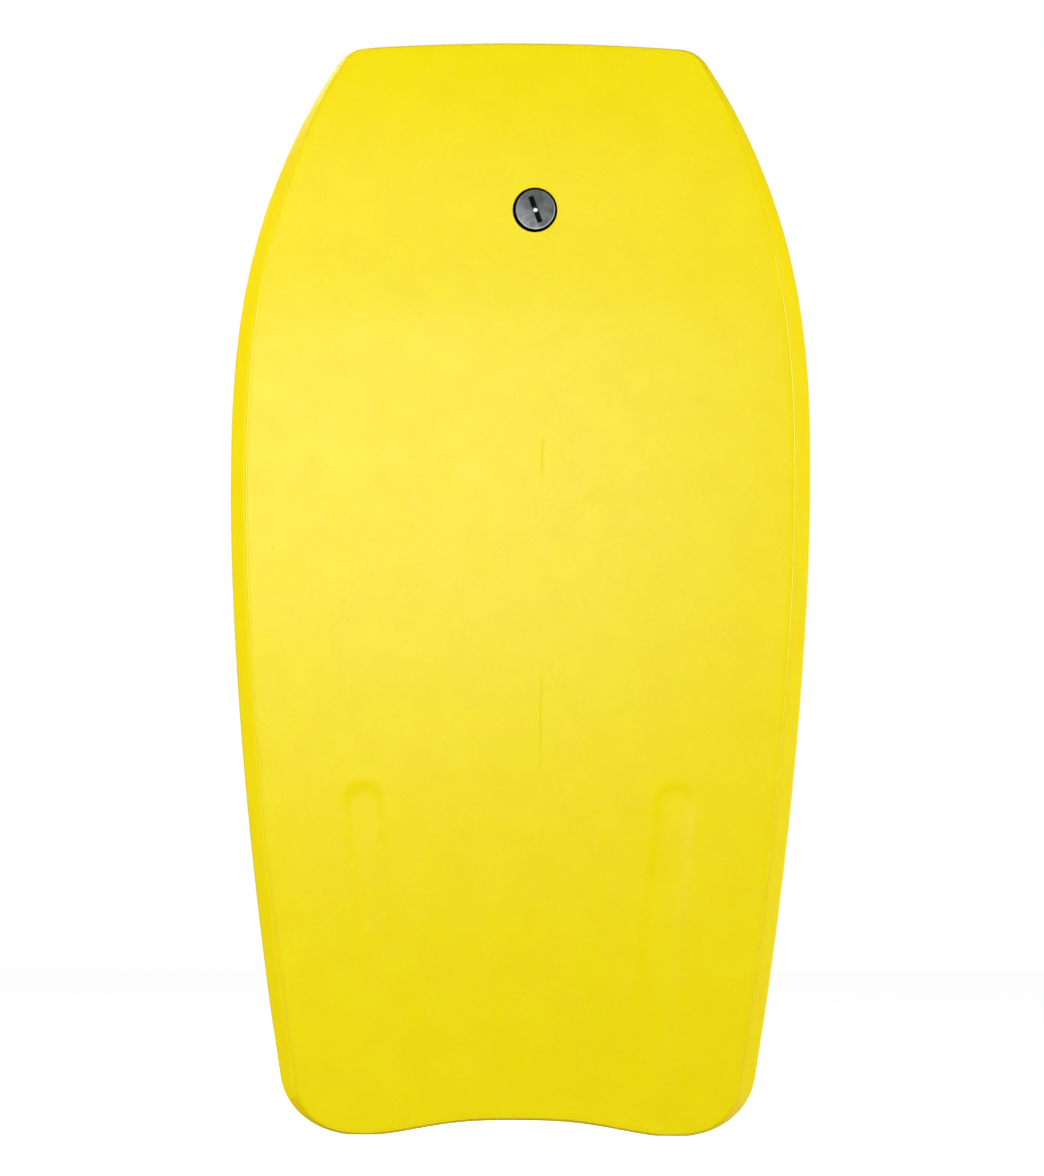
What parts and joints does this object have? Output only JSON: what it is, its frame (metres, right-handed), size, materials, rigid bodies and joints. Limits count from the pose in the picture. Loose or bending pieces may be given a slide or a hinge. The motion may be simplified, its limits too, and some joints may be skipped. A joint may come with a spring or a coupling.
{
  "type": "bodyboard",
  "caption": "Laminated foam bodyboard with a slick bottom, two tail channels, crescent tail and a screwed leash plug.",
  "frame": {"origin": "middle of the whole board: on the centreline, halfway along its length and through its overall depth", "axes": "+Z from the tail to the nose, -Y out of the slick bottom, +Y out of the deck, +X to the right when looking at the slick"},
  "size_m": [0.5, 0.064, 0.94],
  "materials": {
    "slick": "satin polyethylene sheet",
    "deck": "fine cross-hatched foam skin",
    "core": "closed-cell foam",
    "rail": "heat-smoothed foam strip",
    "band": "heat-smoothed foam strip",
    "stringer": "pultruded tube",
    "stringer_cap": "moulded",
    "plug": "moulded, semi-gloss",
    "gasket": "matt"
  },
  "bodies": {
    "board": {"slick_skin": "slick", "deck_skin": "deck", "foam_core": "core", "left_lower_rail": "rail", "right_lower_rail": "rail", "left_upper_rail": "rail", "right_upper_rail": "rail", "nose_band": "band", "tail_band": "band", "stringer_tube": "stringer", "stringer_nose_cap": "stringer_cap", "stringer_tail_cap": "stringer_cap", "plug_nut": "plug", "plug_deck_gasket": "gasket"},
    "plug_carrier": {"plug_gasket": "gasket"},
    "plug_head": {"plug_screw": "plug"}
  },
  "joints": [
    {"name": "plug_lift", "type": "slide", "parent": "board", "child": "plug_carrier", "axis": [0, -1, 0], "range_m": [0, 0.009]},
    {"name": "plug_turn", "type": "hinge", "parent": "plug_carrier", "child": "plug_head", "pos_m": [0.0116, -0.0262, 0.327], "axis": [0, -1, 0], "range_deg": [0, 1080]}
  ],
  "couplings": [
    {"joint": "plug_turn", "follows": "plug_lift", "rad_per_m": 2094.4}
  ]
}
